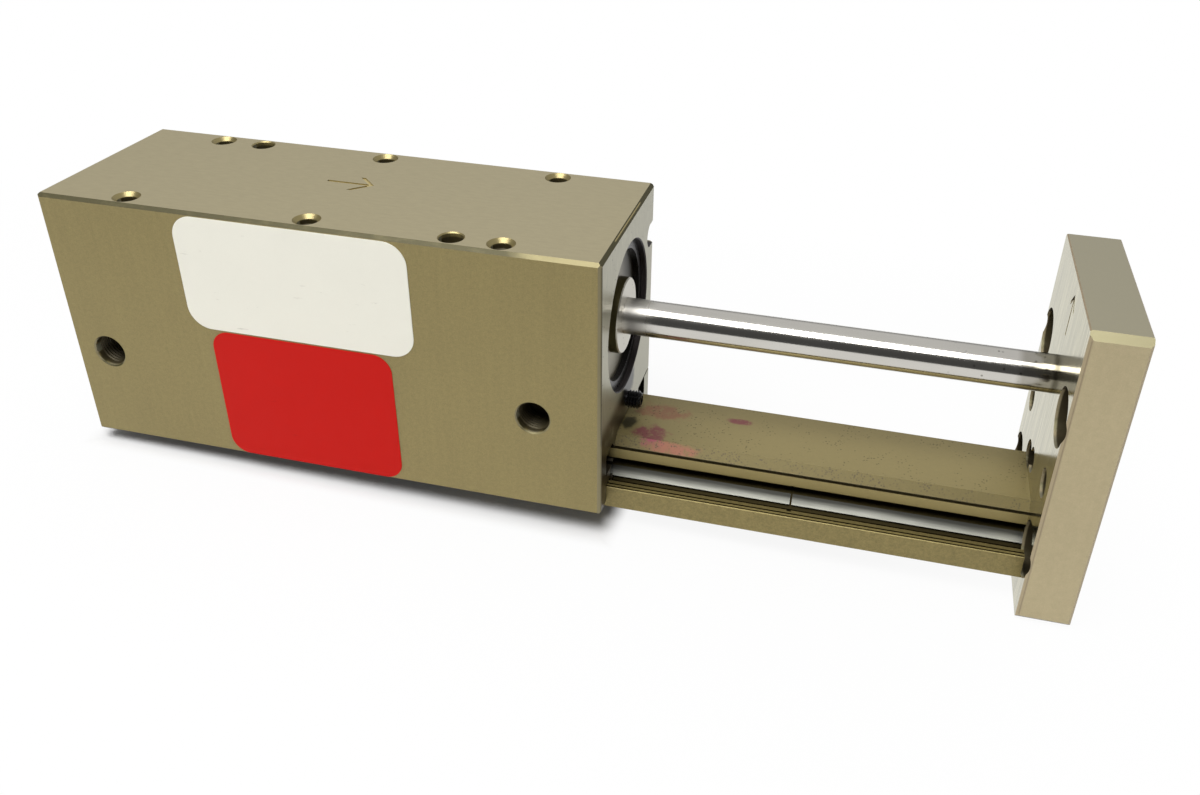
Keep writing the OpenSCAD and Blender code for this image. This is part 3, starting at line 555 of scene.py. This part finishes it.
paint("piston_wear_ring", moulded("wear_ring_plastic", tone(62, 88, 112), 0.45))
paint("piston_magnet", moulded("bonded_magnet", tone(52, 50, 50), 0.6))


# ---- Added pieces ----

# a thread's tooth in shares of its pitch: how far it stands out, how deep its foot lies, how wide it is
TOOTH_HEIGHT = 0.30
TOOTH_FOOT = 0.10
TOOTH_WIDTH = 0.86
TURN_STEPS = 32
PORTS = {"rear": REAR_X + 0.0104, "front": FRONT_X - 0.0177}


def put_down():
    """Nothing selected and nothing in edit mode, so that an operator acts only on what comes next."""
    if bpy.context.object is not None and bpy.context.object.mode != "OBJECT":
        bpy.ops.object.mode_set(mode="OBJECT")
    bpy.ops.object.select_all(action="DESELECT")


def thread(name, body, radius, pitch, length, place, turn, material):
    """A screw thread standing out of the wall of a hole, cut by turning one tooth up a helix."""
    put_down()
    bpy.ops.mesh.primitive_circle_add(vertices=4, radius=pitch * 0.5, fill_type="NOTHING",
        location=(radius, 0, 0), rotation=(math.radians(90), 0, 0))
    piece = bpy.context.object
    piece.name = name
    piece.data.name = name
    bpy.ops.object.transform_apply(location=True, rotation=True, scale=True)
    for vertex in piece.data.vertices:
        out = vertex.co.x - radius
        if out < -TOOTH_FOOT * pitch:
            vertex.co.x = radius - TOOTH_HEIGHT * pitch
        elif out > TOOTH_FOOT * pitch:
            vertex.co.x = radius + TOOTH_FOOT * pitch
        vertex.co.z *= TOOTH_WIDTH
    screw = piece.modifiers.new("helix", "SCREW")
    screw.axis = "Z"
    screw.screw_offset = pitch
    screw.iterations = int(length / pitch) - 1
    screw.steps = TURN_STEPS
    screw.render_steps = TURN_STEPS
    screw.use_merge_vertices = False
    bpy.ops.object.modifier_apply(modifier="helix")
    bpy.ops.object.mode_set(mode="EDIT")
    bpy.ops.mesh.select_all(action="DESELECT")
    bpy.ops.mesh.select_non_manifold()
    bpy.ops.mesh.edge_face_add()
    bpy.ops.mesh.select_all(action="SELECT")
    bpy.ops.mesh.normals_make_consistent(inside=False)
    bpy.ops.object.mode_set(mode="OBJECT")
    piece.rotation_euler = turn
    piece.location = place
    bpy.ops.object.transform_apply(location=True, rotation=True, scale=True)
    bpy.ops.object.shade_smooth_by_angle(angle=math.radians(35))
    piece.data.materials.clear()
    piece.data.materials.append(material)
    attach(piece, body)


for number, (column, row) in enumerate([(c, r) for r in (-1, 1) for c in (-1, 0, 1)]):
    thread(f"tap_thread_{number}", "housing", 2.5 * MM, 1.0 * MM, 9.0 * MM,
        (column * TAP_PITCH, row * TAP_ROW, -10.0 * MM), (0, 0, 0), HOUSING)
for end, x in PORTS.items():
    thread(f"port_thread_{end}", "housing", 4.4 * MM, 0.907 * MM, 8.0 * MM,
        (x, -HALF_W + 0.0086, PORT_Z), (math.radians(90), 0, 0), HOUSING)


# ---- Studio ----

PURE_WHITE = (1, 1, 1, 1)
FLOOR_GREY = (0.74, 0.74, 0.74, 1)
NEAR_WHITE = 0.91
CAMERA_PLACE = (0.133963, -0.238387, 0.105735)
CAMERA_TURN = (59.6322, -1.1011, 14.0960)


def floor():
    """A pale sheet, tilted to meet the foot of the plate, with a gap under the housing's rear end."""
    put_down()
    bpy.ops.mesh.primitive_grid_add(x_subdivisions=2, y_subdivisions=2, size=4)
    sheet = bpy.context.object
    sheet.name = "floor"
    sheet.rotation_euler = (0, math.atan(FLOOR_SLOPE), 0)
    sheet.location = (0, FLOOR_SHIFT, BASE_Z - REAR_GAP + REAR_FOOT_X * FLOOR_SLOPE)
    material = bpy.data.materials.new("pale_floor")
    material.use_nodes = True
    tree = material.node_tree
    tree.nodes.clear()

    def sums(operation, first, second=None):
        return add_node(tree, "ShaderNodeMath", first, second, operation=operation).outputs[0]

    # how far a point lies outside the housing's outline, negative inside it
    coords = add_node(tree, "ShaderNodeTexCoord")
    split = add_node(tree, "ShaderNodeSeparateXYZ", coords.outputs["Object"])
    from_middle = sums("ABSOLUTE", sums("SUBTRACT", split.outputs["X"], (REAR_X + FRONT_X) / 2))
    from_side = sums("ABSOLUTE", sums("ADD", split.outputs["Y"], FLOOR_SHIFT))
    along = sums("SUBTRACT", from_middle, (FRONT_X - REAR_X) / 2)
    outside = sums("MAXIMUM", along, sums("SUBTRACT", from_side, HALF_W))

    # dark in the gap under the housing, nearly white close by, wholly white further away
    near = ramp(tree, outside, -0.001, 0.005, 0.03, NEAR_WHITE)
    clear = sums("ADD", near, ramp(tree, outside, 0.05, 0.16, 0.0, 1.0 - NEAR_WHITE, soft=False))
    matt = add_node(tree, "ShaderNodeBsdfDiffuse", FLOOR_GREY)
    white = add_node(tree, "ShaderNodeEmission", PURE_WHITE, 1.0)
    path = add_node(tree, "ShaderNodeLightPath")
    seen = sums("MAXIMUM", path.outputs["Is Camera Ray"], path.outputs["Is Glossy Ray"])
    seen = sums("MULTIPLY", sums("MAXIMUM", seen, path.outputs["Is Transmission Ray"]), clear)
    above = add_node(tree, "ShaderNodeMixShader", seen, matt.outputs[0], white.outputs[0])

    # seen from below, the sheet is clear and shows the underside of the slide
    facing = add_node(tree, "ShaderNodeNewGeometry")
    below = sums("MULTIPLY", facing.outputs["Backfacing"], path.outputs["Is Camera Ray"])
    glass = add_node(tree, "ShaderNodeBsdfTransparent")
    whole = add_node(tree, "ShaderNodeMixShader", below, above.outputs[0], glass.outputs[0])
    add_node(tree, "ShaderNodeOutputMaterial", whole.outputs[0])
    sheet.data.materials.append(material)


def surroundings():
    """White seen directly. In reflections and as light: bright overhead and behind, dark low in front."""
    world = bpy.data.worlds.new("studio")
    bpy.context.scene.world = world
    world.use_nodes = True
    tree = world.node_tree
    tree.nodes.clear()
    coords = add_node(tree, "ShaderNodeTexCoord")
    split = add_node(tree, "ShaderNodeSeparateXYZ", coords.outputs["Generated"])
    back, up = split.outputs["Y"], split.outputs["Z"]
    height = add_node(tree, "ShaderNodeMath", back, 0.55, up, operation="MULTIPLY_ADD").outputs[0]
    soft = add_node(tree, "ShaderNodeBackground", PURE_WHITE, ramp(tree, height, 0.45, 1.05, 0.08, 0.75))
    white = add_node(tree, "ShaderNodeBackground", PURE_WHITE, 1.0)
    seen = add_node(tree, "ShaderNodeLightPath").outputs["Is Camera Ray"]
    choose = add_node(tree, "ShaderNodeMixShader", seen, soft.outputs[0], white.outputs[0])
    add_node(tree, "ShaderNodeOutputWorld", choose.outputs[0])


def lamp(name, place, aim, size, watts):
    put_down()
    bpy.ops.object.light_add(type="AREA", location=place)
    light = bpy.context.object
    light.name = name
    light.data.shape = "RECTANGLE"
    light.data.size, light.data.size_y = size
    light.data.energy = watts
    light.rotation_euler = (Vector(aim) - Vector(place)).to_track_quat("-Z", "Y").to_euler()


def camera():
    put_down()
    bpy.ops.object.camera_add(location=CAMERA_PLACE, rotation=[math.radians(turn) for turn in CAMERA_TURN])
    eye = bpy.context.object
    eye.name = "studio_camera"
    eye.data.sensor_width = 36
    eye.data.lens = 32.3487
    eye.data.shift_x = -0.02733
    eye.data.shift_y = -0.03656
    eye.data.clip_start = 0.01
    eye.data.clip_end = 50
    eye.data.dof.use_dof = False
    bpy.context.scene.camera = eye


floor()
surroundings()
lamp("soft_key", (-0.10, -0.38, 0.86), (0.05, 0, -0.04), (0.9, 0.50), 11.8)
camera()
bpy.context.scene.view_settings.view_transform = "Standard"
